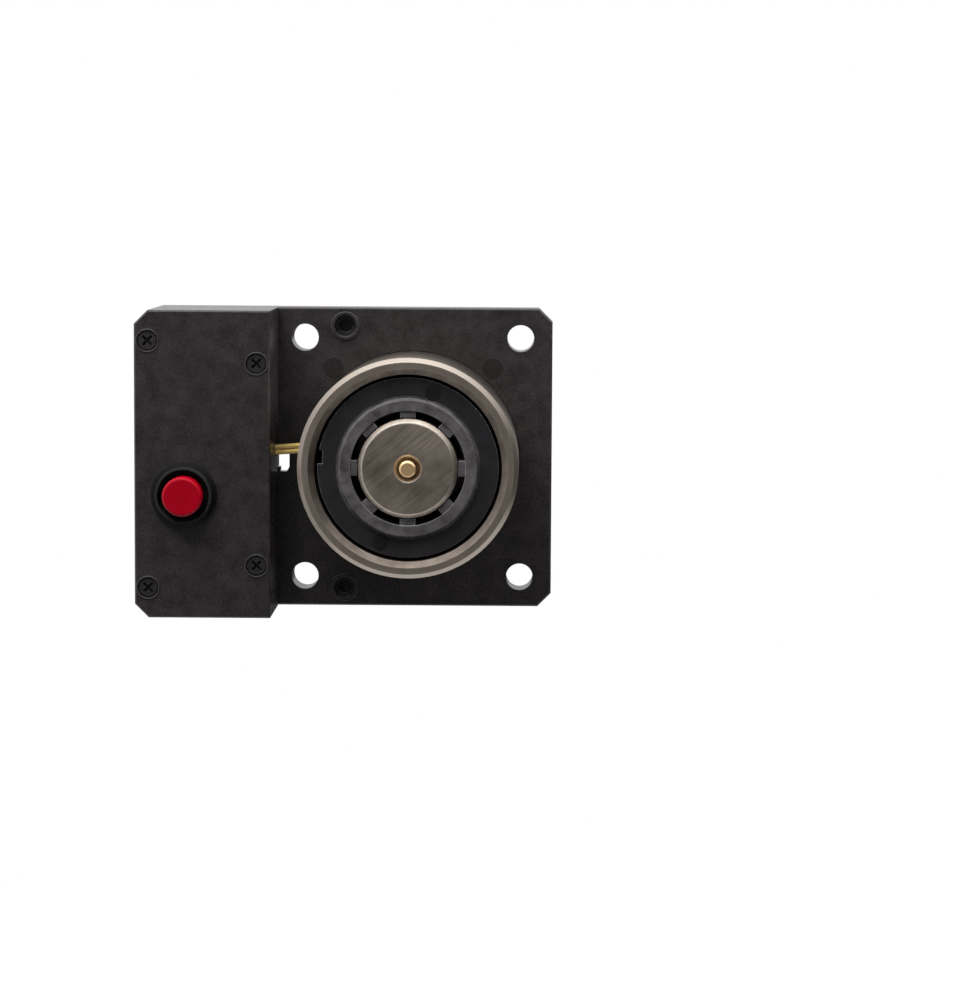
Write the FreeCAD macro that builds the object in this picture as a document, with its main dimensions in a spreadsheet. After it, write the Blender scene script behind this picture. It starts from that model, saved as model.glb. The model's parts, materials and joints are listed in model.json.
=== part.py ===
import FreeCAD, Part
import math
import os

import Sketcher
from FreeCAD import Placement, Rotation, Vector

# Magnet unit of an electromagnetic door holder, in millimetres.
# It hangs on a wall: X is to the right, Z is up, and +Y points into the wall.
# The origin is on the magnet's axis, in the plane of the wall.
# A height is a distance from the wall towards the room, so it is minus Y.

SIZES = {
    # Base plate, an open-backed moulded tray
    "base_width": 115.0,
    "base_tall": 85.0,
    "base_depth": 8.0,
    "base_front": 3.0,
    "skirt_wall": 2.5,
    "corner_cut": 3.8,
    "base_edge_cut": 0.4,
    "magnet_from_left": 75.5,
    "magnet_seat": 0.8,
    "rib_wall": 2.0,
    "ring_rib_inset": 0.25,
    "side_rib_offset": 22.0,
    # Four holes for the wall screws
    "mount_spacing_x": 61.0,
    "mount_from_edge": 8.5,
    "mount_hole_radius": 3.8,
    "mount_tube_wall": 2.4,
    # Two blind bosses above and below the magnet
    "boss_left": 19.2,
    "boss_from_edge": 5.2,
    "boss_radius": 3.95,
    "boss_rise": 0.4,
    "boss_mouth_radius": 3.1,
    "boss_mouth_depth": 2.4,
    "boss_bore_radius": 1.9,
    "boss_bore_depth": 6.4,
    # Terminal cover, its screws and its openings
    "cover_width": 37.3,
    "cover_depth": 23.4,
    "cover_wall": 2.2,
    "cover_face": 2.5,
    "cover_edge_cut": 0.4,
    "screw_head_radius": 2.9,
    "screw_head_depth": 1.7,
    "screw_head_edge": 0.4,
    "screw_head_gap": 0.25,
    "screw_head_sink": 0.15,
    "screw_rim": 0.15,
    "screw_post_wall": 0.25,
    "screw_radius": 1.5,
    "screw_gap": 0.08,
    "screw_tip_from_wall": 1.6,
    "pilot_spare": 0.3,
    "left_screw_from_edge": 8.4,
    "right_screw_from_edge": 14.6,
    "cross_length": 1.8,
    "cross_slot": 0.4,
    "cross_depth": 1.2,
    "cable_radius": 6.0,
    "cable_from_edge": 11.5,
    # Pot magnet
    "pole_height": 38.3,
    "pot_radius": 30.25,
    "pot_wall": 4.6,
    "pot_floor": 5.0,
    "pot_outer_cut": 1.2,
    "pot_inner_cut": 1.6,
    "core_radius": 13.7,
    "core_cut": 1.1,
    "core_spigot_radius": 9.0,
    "magnet_screw_inset": 10.25,
    "magnet_screw_radius": 2.0,
    "magnet_screw_head_radius": 3.6,
    "magnet_screw_head_depth": 2.4,
    "magnet_screw_head_edge": 0.8,
    "magnet_screw_grip": 4.2,
    "magnet_screw_slot": 1.0,
    "magnet_screw_slot_depth": 1.2,
    # Push-off pin in the core, its spring and its plug
    "pin_radius": 2.3,
    "pin_hole_radius": 2.75,
    "pin_sink_radius": 3.7,
    "pin_proud": 1.5,
    "pin_tip_cut": 0.5,
    "pin_shoulder_depth": 4.0,
    "pin_collar": 1.5,
    "pin_stem_radius": 1.6,
    "pin_stem_length": 3.0,
    "chamber_radius": 3.6,
    "chamber_gap": 0.08,
    "plug_radius": 4.2,
    "plug_length": 7.0,
    "plug_sink": 1.0,
    "plug_edge": 0.5,
    "plug_key": 2.0,
    "plug_key_depth": 3.5,
    "pin_spring_wire": 0.7,
    "pin_spring_turns": 6.0,
    # Coil bobbin and coil
    "bobbin_gap": 0.9,
    "bobbin_flange": 1.6,
    "bobbin_below_pole": 2.2,
    "bobbin_tube_wall": 1.45,
    "bobbin_window": 2.05,
    "collar_radius": 19.0,
    "collar_below_pole": 0.7,
    "collar_cut": 0.4,
    "rib_width": 4.2,
    "rib_count": 8.0,
    "rib_below_collar": 0.3,
    "coil_below_flange": 1.35,
    "coil_gap": 0.1,
    "tape_wall": 0.45,
    # Coil leads, and the gap through the base beside them
    "lead_radius": 0.7,
    "lead_height": 14.6,
    "lead_pitch": 1.5,
    "lead_middle": 2.6,
    "lead_rise": 0.6,
    "lead_bend": 1.8,
    "lead_hole_radius": 2.25,
    "lead_pad_inset": 1.4,
    "gap_wide": 3.2,
    "gap_tall": 4.0,
    "gap_leg": 1.3,
    "gap_leg_inset": 0.6,
    "gap_leg_taper": 0.75,
    # Push button
    "button_from_left": 13.7,
    "button_below_axis": 8.4,
    "bezel_radius": 9.05,
    "bezel_edge": 0.9,
    "bezel_slope": 0.55,
    "lip_radius": 7.8,
    "lip_wall": 0.7,
    "lip_rise": 2.3,
    "lip_round": 0.15,
    "lip_floor": 0.4,
    "sleeve_radius": 7.95,
    "sleeve_gap": 0.15,
    "sleeve_length": 10.0,
    "cap_radius": 5.45,
    "cap_gap": 0.1,
    "cap_rise": 5.5,
    "cap_round": 0.8,
    "cap_collar_radius": 6.3,
    "cap_collar": 1.5,
    "cap_guide": 3.0,
    "cap_hollow_radius": 4.4,
    "cap_roof": 3.5,
    "cap_stem_radius": 1.6,
    "cap_stem_rest": 0.3,
    "button_travel": 2.5,
    "button_spring_wire": 0.6,
    "button_spring_radius": 3.2,
    "button_spring_turns": 5.0,
    "nut_across_flats": 19.0,
    "nut_depth": 2.5,
    "block_radius": 7.6,
    "block_depth": 4.5,
    "tab_width": 2.8,
    "tab_wall": 0.8,
    "tab_length": 3.6,
    "tab_spread": 6.0,
    # Circuit board and what is on it
    "board_width": 21.6,
    "board_wall": 1.6,
    "board_bottom": 0.6,
    "board_from_right": 7.4,
    "board_from_cover": 2.2,
    "board_stand": 2.4,
    "board_stand_radius": 2.8,
    "board_screw_radius": 1.25,
    "board_screw_head_radius": 2.2,
    "board_screw_head_depth": 1.6,
    "board_screw_head_edge": 0.4,
    "board_screw_length": 6.0,
    "board_screw_inset": 3.2,
    "block_wide": 10.2,
    "block_tall": 8.0,
    "block_high": 10.0,
    "block_from_top": 3.5,
    "pole_pitch": 5.08,
    "clamp_radius": 1.9,
    "clamp_depth": 3.0,
    "clamp_well": 4.5,
    "entry_radius": 1.5,
    "entry_height": 3.3,
    "entry_depth": 4.0,
    "diode_radius": 1.35,
    "diode_length": 5.2,
    "diode_leg": 0.7,
    "diode_leg_reach": 2.2,
    "diode_above_board": 14.0,
}

SHEET_NAME = "Sizes"
WIRE_SIDES = 6
TINY = 1e-6


class Size:
    """A length of the model: its value now, and the sheet expression behind it."""

    def __init__(self, value, text):
        self.value = value
        self.text = text

    def __add__(self, other):
        other = as_size(other)
        return Size(self.value + other.value, f"({self.text} + {other.text})")

    def __radd__(self, other):
        return as_size(other) + self

    def __sub__(self, other):
        other = as_size(other)
        return Size(self.value - other.value, f"({self.text} - {other.text})")

    def __rsub__(self, other):
        return as_size(other) - self

    def __mul__(self, factor):
        factor = as_size(factor)
        return Size(self.value * factor.value, f"({self.text} * {factor.text})")

    def __truediv__(self, divisor):
        divisor = as_size(divisor)
        return Size(self.value / divisor.value, f"({self.text} / {divisor.text})")

    def __neg__(self):
        return self * -1


def as_size(number):
    """Turn a plain number into a Size; a Size stays as it is."""
    if isinstance(number, Size):
        return number
    return Size(float(number), f"{float(number):.9f}")


class SizeSheet:
    """The spreadsheet of driving dimensions; each one is an attribute."""

    def __init__(self, sizes):
        self.cells = doc.addObject("Spreadsheet::Sheet", SHEET_NAME)
        for row, (alias, value) in enumerate(sizes.items(), 1):
            self.cells.set(f"A{row}", alias)
            self.cells.set(f"B{row}", str(value))
            self.cells.setAlias(f"B{row}", alias)
        doc.recompute()

    def __getattr__(self, alias):
        return Size(float(self.cells.get(alias)), f"{SHEET_NAME}.{alias}")


def bind(item, path, size):
    """Tie a property of a document object to the sheet."""
    item.setExpression(path, as_size(size).text)


def new_body(name, x=0, z=0):
    """Start a body whose own axis stands at x, z."""
    body = doc.addObject("PartDesign::Body", name)
    body.Label = name
    body.Placement = Placement(Vector(as_size(x).value, 0, as_size(z).value), Rotation())
    bind(body, "Placement.Base.x", x)
    bind(body, "Placement.Base.z", z)
    doc.recompute()
    return body


def new_sketch(body, name, role, offset=0):
    """Sketch on one of the body's origin planes, moved along its normal by offset."""
    sketch = body.newObject("Sketcher::SketchObject", f"{body.Name}_{name}")
    plane = next(item for item in body.Origin.OriginFeatures if item.Role == role)
    sketch.AttachmentSupport = [(plane, "")]
    sketch.MapMode = "FlatFace"
    sketch.AttachmentOffset = Placement(Vector(0, 0, as_size(offset).value), Rotation())
    bind(sketch, "AttachmentOffset.Base.z", offset)
    return sketch


def front_sketch(body, name, height):
    """Sketch parallel to the wall, at a height; its axes are X and Z."""
    return new_sketch(body, name, "XZ_Plane", height)


def dimension(sketch, kind, geometry, point, size):
    """Place a point of the geometry at a distance from the sketch's origin."""
    size = as_size(size)
    number = sketch.addConstraint(
        Sketcher.Constraint(kind, -1, 1, geometry, point, size.value))
    sketch.setExpression(f"Constraints[{number}]", size.text)


def draw_outline(sketch, points):
    """Closed outline of straight edges through the points."""
    places = [Vector(as_size(x).value, as_size(y).value, 0) for x, y in points]
    lines = []
    for start, end in zip(places, places[1:] + places[:1]):
        lines.append(sketch.addGeometry(Part.LineSegment(start, end), False))
    for line, following in zip(lines, lines[1:] + lines[:1]):
        sketch.addConstraint(Sketcher.Constraint("Coincident", line, 2, following, 1))
    for line, (x, y) in zip(lines, points):
        dimension(sketch, "DistanceX", line, 1, x)
        dimension(sketch, "DistanceY", line, 1, y)


def draw_rectangle(sketch, left, right, low, high):
    draw_outline(sketch, [(left, low), (right, low), (right, high), (left, high)])


def draw_circle(sketch, x, y, radius):
    radius = as_size(radius)
    centre = Vector(as_size(x).value, as_size(y).value, 0)
    circle = sketch.addGeometry(Part.Circle(centre, Vector(0, 0, 1), radius.value), False)
    dimension(sketch, "DistanceX", circle, 3, x)
    dimension(sketch, "DistanceY", circle, 3, y)
    number = sketch.addConstraint(Sketcher.Constraint("Radius", circle, radius.value))
    sketch.setExpression(f"Constraints[{number}]", radius.text)


def pad(body, sketch, length):
    """Add material from the sketch towards the room."""
    feature = body.newObject("PartDesign::Pad", f"{sketch.Name}_pad")
    feature.Profile = sketch
    feature.Length = as_size(length).value
    bind(feature, "Length", length)
    doc.recompute()
    return feature


def pocket(body, sketch, depth, from_behind=False):
    """Remove material from the sketch towards the wall, or towards the room from behind."""
    before = body.Shape.Volume
    feature = body.newObject("PartDesign::Pocket", f"{sketch.Name}_cut")
    feature.Profile = sketch
    feature.Length = as_size(depth).value
    bind(feature, "Length", depth)
    feature.Reversed = from_behind
    doc.recompute()
    if body.Shape.Volume > before - TINY:
        raise RuntimeError(f"{feature.Name} cuts nothing")
    return feature


def turn(body, name, points):
    """Turned shape about the body's own axis, from (radius, height) points."""
    sketch = new_sketch(body, name, "XY_Plane")
    draw_outline(sketch, [(radius, -as_size(height)) for radius, height in points])
    feature = body.newObject("PartDesign::Revolution", f"{sketch.Name}_turned")
    feature.Profile = sketch
    feature.ReferenceAxis = (sketch, ["V_Axis"])
    feature.Angle = 360
    doc.recompute()
    return feature


def put(item, x, y, z):
    """Move a primitive to a place that follows the sheet."""
    place = [as_size(size) for size in (x, y, z)]
    item.Placement.Base = Vector(*(size.value for size in place))
    for axis, size in zip("xyz", place):
        bind(item, f"Placement.Base.{axis}", size)


def new_box(name, length, width, height):
    """Box primitive of a given length, width and height."""
    box = doc.addObject("Part::Box", name)
    for side, size in (("Length", length), ("Width", width), ("Height", height)):
        setattr(box, side, as_size(size).value)
        bind(box, side, size)
    return box


def new_cylinder(name, radius, length, direction):
    """Cylinder primitive that points in a given direction."""
    cylinder = doc.addObject("Part::Cylinder", name)
    for side, size in (("Radius", radius), ("Height", length)):
        setattr(cylinder, side, as_size(size).value)
        bind(cylinder, side, size)
    cylinder.Placement.Rotation = Rotation(Vector(0, 0, 1), direction)
    return cylinder


def edges_where(body, wanted):
    return [f"Edge{n}" for n, edge in enumerate(body.Shape.Edges, 1) if wanted(edge)]


def cut_edges(body, size, wanted):
    """Chamfer the edges that are wanted."""
    solid = body.Tip
    feature = body.newObject("PartDesign::Chamfer", f"{body.Name}_edge_cut")
    feature.Base = (solid, edges_where(body, wanted))
    feature.Size = as_size(size).value
    bind(feature, "Size", size)
    doc.recompute()
    return feature


def round_edges(body, size, wanted):
    """Fillet the edges that are wanted."""
    solid = body.Tip
    feature = body.newObject("PartDesign::Fillet", f"{body.Name}_edge_round")
    feature.Base = (solid, edges_where(body, wanted))
    feature.Radius = as_size(size).value
    bind(feature, "Radius", size)
    doc.recompute()
    return feature


def at_height(height):
    """Test for an edge that lies wholly at one height."""
    level = -as_size(height).value
    return lambda edge: all(abs(vertex.Y - level) < 1e-4 for vertex in edge.Vertexes)


def cut_corner_outline(sketch, left, right, low, high, cut, right_too=True):
    """Rectangle whose left corners, or all four, are cut at 45 degrees."""
    points = [(left, low + cut), (left + cut, low)]
    points += [(right - cut, low), (right, low + cut)] if right_too else [(right, low)]
    points += [(right, high - cut), (right - cut, high)] if right_too else [(right, high)]
    points += [(left + cut, high), (left, high - cut)]
    draw_outline(sketch, points)


def make_base_plate():
    """Moulded tray with tubes and ribs at its back."""
    body = new_body("base_plate")
    outline = front_sketch(body, "outline", 0)
    cut_corner_outline(outline, left, right, bottom, top, at.corner_cut)
    pad(body, outline, at.base_depth)
    cut_edges(body, at.base_edge_cut, at_height(at.base_depth))

    back_space = at.base_depth - at.base_front
    inside = front_sketch(body, "inside", 0)
    cut_corner_outline(inside, left + at.skirt_wall, right - at.skirt_wall,
                       bottom + at.skirt_wall, top - at.skirt_wall, at.corner_cut)
    pocket(body, inside, back_space, from_behind=True)

    ring = front_sketch(body, "ring_rib", 0)
    ring_rib_radius = at.pot_radius - at.ring_rib_inset
    draw_circle(ring, 0, 0, ring_rib_radius)
    draw_circle(ring, 0, 0, ring_rib_radius - at.rib_wall)
    pad(body, ring, back_space)

    ribs = front_sketch(body, "side_ribs", 0)
    rib_start = ring_rib_radius * math.sqrt(0.5)
    for side in (-1, 1):
        middle = at.side_rib_offset * side
        low = middle - at.rib_wall / 2
        high = middle + at.rib_wall / 2
        draw_rectangle(ribs, left + at.skirt_wall / 2, -rib_start, low, high)
        draw_rectangle(ribs, rib_start, right - at.skirt_wall / 2, low, high)
    pad(body, ribs, back_space)

    tubes = front_sketch(body, "mount_tubes", 0)
    for x, z in mount_places:
        draw_circle(tubes, x, z, at.mount_hole_radius + at.mount_tube_wall)
    pad(body, tubes, back_space)

    backs = front_sketch(body, "boss_backs", 0)
    for x, z in boss_places:
        draw_circle(backs, x, z, at.boss_radius)
    pad(body, backs, back_space)

    posts = front_sketch(body, "cover_screw_posts", 0)
    for x, z in cover_screw_places:
        draw_circle(posts, x, z, post_radius)
    pad(body, posts, back_space)

    bosses = front_sketch(body, "bosses", at.base_depth - at.base_edge_cut)
    for x, z in boss_places:
        draw_circle(bosses, x, z, at.boss_radius)
    pad(body, bosses, at.boss_rise + at.base_edge_cut)

    stands = front_sketch(body, "board_stands", at.base_depth - at.base_edge_cut)
    for x, z in board_screw_places:
        draw_circle(stands, x, z, at.board_stand_radius)
    pad(body, stands, at.board_stand + at.base_edge_cut)

    cut_base_holes(body)


def cut_base_holes(body):
    """Holes and seats in the base plate."""
    holes = front_sketch(body, "mount_holes", at.base_depth)
    for x, z in mount_places:
        draw_circle(holes, x, z, at.mount_hole_radius)
    pocket(body, holes, at.base_depth)

    boss_top = at.base_depth + at.boss_rise
    mouths = front_sketch(body, "boss_mouths", boss_top)
    bores = front_sketch(body, "boss_bores", boss_top)
    for x, z in boss_places:
        draw_circle(mouths, x, z, at.boss_mouth_radius)
        draw_circle(bores, x, z, at.boss_bore_radius)
    pocket(body, mouths, at.boss_mouth_depth)
    pocket(body, bores, at.boss_bore_depth)

    seat = front_sketch(body, "magnet_seat", at.base_depth)
    draw_circle(seat, 0, 0, at.pot_radius + at.sleeve_gap)
    pocket(body, seat, at.magnet_seat)
    screws = front_sketch(body, "magnet_screw_holes", at.base_depth)
    for x, z in magnet_screw_places:
        draw_circle(screws, x, z, at.magnet_screw_radius + at.sleeve_gap)
    pocket(body, screws, at.base_depth)

    pilots = front_sketch(body, "cover_screw_pilots", at.base_depth)
    for x, z in cover_screw_places:
        draw_circle(pilots, x, z, at.screw_radius + at.screw_gap)
    pocket(body, pilots, at.base_depth - at.screw_tip_from_wall + at.pilot_spare)

    board_pilots = front_sketch(body, "board_screw_pilots", board_back)
    for x, z in board_screw_places:
        draw_circle(board_pilots, x, z, at.board_screw_radius + at.screw_gap)
    pocket(body, board_pilots, at.board_screw_length - at.board_wall + at.pilot_spare)

    entry = front_sketch(body, "cable_entry", at.base_depth)
    draw_circle(entry, cover_middle, bottom + at.cable_from_edge, at.cable_radius)
    pocket(body, entry, at.base_depth)

    # The gap beside the leads goes right through, with a tapered leg at its lower right.
    gap = front_sketch(body, "lead_gap", at.base_depth)
    gap_right = cover_right + at.gap_wide
    gap_top = at.lead_middle - at.lead_pitch
    gap_low = gap_top - at.gap_tall
    draw_outline(gap, [
        (cover_right, gap_low), (cover_right + at.gap_leg_inset, gap_low),
        (cover_right + at.gap_leg_inset, gap_low - at.gap_leg),
        (gap_right - at.gap_leg_taper, gap_low - at.gap_leg),
        (gap_right, gap_low), (gap_right, gap_top), (cover_right, gap_top)])
    pocket(body, gap, at.base_depth)


def make_terminal_cover():
    """Moulded box with screw posts in it and a hole for the push button."""
    body = new_body("terminal_cover")
    front = cover_front
    outline = front_sketch(body, "outline", at.base_depth)
    cut_corner_outline(outline, left, cover_right, bottom, top, at.corner_cut, False)
    pad(body, outline, at.cover_depth)
    cut_edges(body, at.cover_edge_cut, at_height(front))

    room = at.cover_depth - at.cover_face
    inside = front_sketch(body, "inside", at.base_depth)
    cut_corner_outline(inside, left + at.cover_wall, cover_right - at.cover_wall,
                       bottom + at.cover_wall, top - at.cover_wall, at.corner_cut, False)
    pocket(body, inside, room, from_behind=True)

    posts = front_sketch(body, "screw_posts", at.base_depth)
    for x, z in cover_screw_places:
        draw_circle(posts, x, z, post_radius)
    pad(body, posts, room)

    seats = front_sketch(body, "screw_seats", front)
    holes = front_sketch(body, "screw_holes", front)
    for x, z in cover_screw_places:
        draw_circle(seats, x, z, at.screw_head_radius + at.screw_head_gap)
        draw_circle(holes, x, z, at.screw_radius + at.screw_gap)
    pocket(body, seats, at.screw_head_depth + at.screw_head_sink)
    pocket(body, holes, at.cover_depth)

    button = front_sketch(body, "button_hole", front)
    draw_circle(button, button_x, button_z, at.sleeve_radius + at.sleeve_gap)
    pocket(body, button, at.cover_face)

    notch = front_sketch(body, "lead_notch", at.base_depth)
    draw_rectangle(notch, cover_middle, cover_right + at.cover_wall,
                   at.lead_middle - at.lead_hole_radius, at.lead_middle + at.lead_hole_radius)
    pocket(body, notch, at.lead_height - at.base_depth + at.lead_radius * 2, from_behind=True)


def cut_cross(body, height):
    """Cross recess in a screw head, turned to an X."""
    for number, turned in enumerate((1, -1)):
        sketch = front_sketch(body, f"cross_{number}", height)
        along = at.cross_length * math.sqrt(0.5)
        across = at.cross_slot * math.sqrt(0.5)
        draw_outline(sketch, [
            (along - across, (along + across) * turned),
            (-along - across, (across - along) * turned),
            (across - along, (-along - across) * turned),
            (along + across, (along - across) * turned)])
        pocket(body, sketch, at.cross_depth)


def make_cover_screw(number, x, z):
    """Sunk screw that holds the cover on the base."""
    body = new_body(f"cover_screw_{number}", x, z)
    head_top = cover_front - at.screw_head_sink
    head_under = head_top - at.screw_head_depth
    edge = at.screw_head_edge
    turn(body, "profile", [
        (0, at.screw_tip_from_wall), (at.screw_radius, at.screw_tip_from_wall),
        (at.screw_radius, head_under), (at.screw_head_radius, head_under),
        (at.screw_head_radius, head_top - edge), (at.screw_head_radius - edge, head_top),
        (0, head_top)])
    cut_cross(body, head_top)


def make_magnet_pot():
    """Turned steel cup, with a hole in its side for the leads."""
    body = new_body("magnet_pot")
    inner = at.pot_radius - at.pot_wall
    spigot_hole = at.core_spigot_radius + at.screw_gap
    turn(body, "profile", [
        (spigot_hole, magnet_back), (at.pot_radius, magnet_back),
        (at.pot_radius, at.pole_height - at.pot_outer_cut),
        (at.pot_radius - at.pot_outer_cut, at.pole_height),
        (inner + at.pot_inner_cut, at.pole_height),
        (inner, at.pole_height - at.pot_inner_cut),
        (inner, coil_back), (spigot_hole, coil_back)])

    hole = new_sketch(body, "lead_hole", "YZ_Plane")
    draw_circle(hole, -at.lead_height, at.lead_middle + at.lead_rise, at.lead_hole_radius)
    pocket(body, hole, at.pot_radius + at.pot_wall)

    threads = front_sketch(body, "screw_threads", magnet_back)
    for x, z in magnet_screw_places:
        draw_circle(threads, x, z, at.magnet_screw_radius + at.screw_gap)
    pocket(body, threads, at.magnet_screw_grip + at.pilot_spare, from_behind=True)


def make_magnet_core():
    """Turned steel pole with a chamber for the push-off pin."""
    body = new_body("magnet_core")
    face = at.pole_height
    turn(body, "profile", [
        (at.plug_radius + at.screw_gap, magnet_back), (at.core_spigot_radius, magnet_back),
        (at.core_spigot_radius, coil_back), (at.core_radius, coil_back),
        (at.core_radius, face - at.core_cut), (at.core_radius - at.core_cut, face),
        (at.pin_sink_radius, face),
        (at.pin_hole_radius, face - (at.pin_sink_radius - at.pin_hole_radius)),
        (at.pin_hole_radius, pin_shoulder), (at.chamber_radius, pin_shoulder),
        (at.chamber_radius, plug_front), (at.plug_radius + at.screw_gap, plug_front)])


def make_spring_plug():
    """Grub screw that closes the chamber from behind."""
    body = new_body("spring_plug")
    back = plug_front - at.plug_length
    edge = at.plug_edge
    turn(body, "profile", [
        (0, back), (at.plug_radius - edge, back), (at.plug_radius, back + edge),
        (at.plug_radius, plug_front - edge), (at.plug_radius - edge, plug_front),
        (0, plug_front)])
    socket = front_sketch(body, "hex_socket", back)
    draw_hexagon(socket, at.plug_key)
    pocket(body, socket, at.plug_key_depth, from_behind=True)


def draw_hexagon(sketch, half_across):
    """Hexagon about the sketch's origin, with flats left and right."""
    corner = half_across / math.cos(math.pi / 6)
    points = []
    for number in range(6):
        angle = math.pi / 6 + number * math.pi / 3
        points.append((corner * math.cos(angle), corner * math.sin(angle)))
    draw_outline(sketch, points)


def make_magnet_screw(number, x, z):
    """Pan-head screw from the back of the base into the pot's floor."""
    body = new_body(f"magnet_screw_{number}", x, z)
    under = at.base_depth - at.base_front
    back = under - at.magnet_screw_head_depth
    edge = at.magnet_screw_head_edge
    turn(body, "profile", [
        (0, back), (at.magnet_screw_head_radius - edge, back),
        (at.magnet_screw_head_radius, back + edge), (at.magnet_screw_head_radius, under),
        (at.magnet_screw_radius, under),
        (at.magnet_screw_radius, magnet_back + at.magnet_screw_grip),
        (0, magnet_back + at.magnet_screw_grip)])
    slot = front_sketch(body, "slot", back)
    draw_rectangle(slot, -at.magnet_screw_radius, at.magnet_screw_radius,
                   -at.magnet_screw_slot / 2, at.magnet_screw_slot / 2)
    pocket(body, slot, at.magnet_screw_slot_depth, from_behind=True)


def make_push_off_pin():
    """Brass pin with a collar that stops behind the core's shoulder."""
    body = new_body("push_off_pin")
    collar_front = pin_shoulder - at.chamber_gap
    collar_back = collar_front - at.pin_collar
    collar_radius = at.chamber_radius - at.chamber_gap
    tip = at.pole_height + at.pin_proud
    turn(body, "profile", [
        (0, collar_back - at.pin_stem_length),
        (at.pin_stem_radius, collar_back - at.pin_stem_length),
        (at.pin_stem_radius, collar_back), (collar_radius, collar_back),
        (collar_radius, collar_front), (at.pin_radius, collar_front),
        (at.pin_radius, tip - at.pin_tip_cut), (at.pin_radius - at.pin_tip_cut, tip),
        (0, tip)])


def make_spring(name, x, z, radius, wire, turns, low, high):
    """Compression spring of drawn wire that fills the space from low to high."""
    path = doc.addObject("Part::Helix", f"{name}_path")
    rise = high - low - wire
    path.Radius = radius.value
    bind(path, "Radius", radius)
    path.Height = rise.value
    bind(path, "Height", rise)
    path.Pitch = (rise / turns).value
    bind(path, "Pitch", rise / turns)
    section = doc.addObject("Part::RegularPolygon", f"{name}_wire")
    section.Polygon = WIRE_SIDES
    section.Circumradius = (wire / 2).value
    bind(section, "Circumradius", wire / 2)
    section.Placement = Placement(Vector(radius.value, 0, 0), Rotation(Vector(1, 0, 0), 90))
    bind(section, "Placement.Base.x", radius)
    spring = doc.addObject("Part::Sweep", name)
    spring.Sections = [section]
    spring.Spine = path
    spring.Solid = True
    spring.Frenet = True
    spring.Label = name
    seat = low + wire / 2
    spring.Placement = Placement(Vector(as_size(x).value, -seat.value, as_size(z).value),
                                 Rotation(Vector(1, 0, 0), 90))
    bind(spring, "Placement.Base.x", x)
    bind(spring, "Placement.Base.y", -seat)
    bind(spring, "Placement.Base.z", z)
    doc.recompute()


def make_coil_bobbin():
    """Moulded bobbin: a tube with two flanges, a collar and ribs that grip the core."""
    body = new_body("coil_bobbin")
    front = bobbin_front
    turn(body, "profile", [
        (window_radius, coil_back), (bobbin_radius, coil_back),
        (bobbin_radius, coil_back + at.bobbin_flange),
        (tube_radius, coil_back + at.bobbin_flange), (tube_radius, front - at.bobbin_flange),
        (bobbin_radius, front - at.bobbin_flange), (bobbin_radius, front),
        (at.collar_radius, front), (at.collar_radius, collar_top - at.collar_cut),
        (at.collar_radius - at.collar_cut, collar_top), (window_radius, collar_top)])

    sketch = front_sketch(body, "rib", coil_back)
    draw_rectangle(sketch, -at.rib_width / 2, at.rib_width / 2,
                   at.core_radius + at.sleeve_gap, window_radius + at.bobbin_tube_wall / 2)
    rib = pad(body, sketch, collar_top - at.rib_below_collar - coil_back)
    pattern = body.newObject("PartDesign::PolarPattern", "coil_bobbin_ribs")
    pattern.Originals = [rib]
    pattern.Axis = (sketch, ["N_Axis"])
    pattern.Angle = 360
    pattern.Occurrences = int(at.rib_count.value)
    body.Tip = pattern
    doc.recompute()

    notch = front_sketch(body, "lead_notch", front)
    draw_rectangle(notch, -bobbin_radius - at.lead_radius, -bobbin_radius + at.lead_radius * 2,
                   at.lead_middle - at.lead_hole_radius + at.lead_radius,
                   at.lead_middle + at.lead_hole_radius)
    pocket(body, notch, at.bobbin_flange)


def make_coil():
    """Winding between the flanges, and the tape round it."""
    low = coil_back + at.bobbin_flange + at.coil_gap
    high = bobbin_front - at.bobbin_flange - at.coil_gap
    inner = tube_radius + at.coil_gap
    winding = new_body("coil_winding")
    turn(winding, "profile", [
        (inner, low), (coil_radius, low), (coil_radius, high), (inner, high)])
    tape = new_body("coil_tape")
    inside = coil_radius + at.coil_gap / 2
    outside = inside + at.tape_wall
    turn(tape, "profile", [(inside, low), (outside, low), (outside, high), (inside, high)])


def rounded_path(points, radius):
    """Wire of straight runs through the points, joined by tangent arcs."""
    edges = []
    start = points[0]
    for before, corner, after in zip(points, points[1:], points[2:]):
        back = (before - corner).normalize()
        ahead = (after - corner).normalize()
        half = back.getAngle(ahead) / 2
        reach = radius / math.tan(half)
        enter = corner + back * reach
        leave = corner + ahead * reach
        middle = (back + ahead).normalize()
        crown = corner + middle * (radius / math.sin(half) - radius)
        edges.append(Part.LineSegment(start, enter).toShape())
        edges.append(Part.Arc(enter, crown, leave).toShape())
        start = leave
    edges.append(Part.LineSegment(start, points[-1]).toShape())
    return Part.Wire(edges)


def make_lead(name, z):
    """Sleeved coil lead from its pad on the board to the coil."""
    depth = -at.lead_height.value
    pad_x = lead_pad_x.value
    lift = at.lead_rise.value
    points = [
        Vector(pad_x, -board_front.value, z.value),
        Vector(pad_x, depth, z.value),
        Vector(cover_right.value, depth, z.value),
        Vector(-at.pot_radius.value, depth, z.value + lift),
        Vector(lead_end_x.value, depth, z.value + lift)]
    path = rounded_path(points, at.lead_bend.value)
    section = Part.Wire([Part.Circle(points[0], Vector(0, -1, 0), at.lead_radius.value).toShape()])
    lead = doc.addObject("Part::Feature", name)
    lead.Label = name
    lead.Shape = path.makePipeShell([section], True, False)


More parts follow.
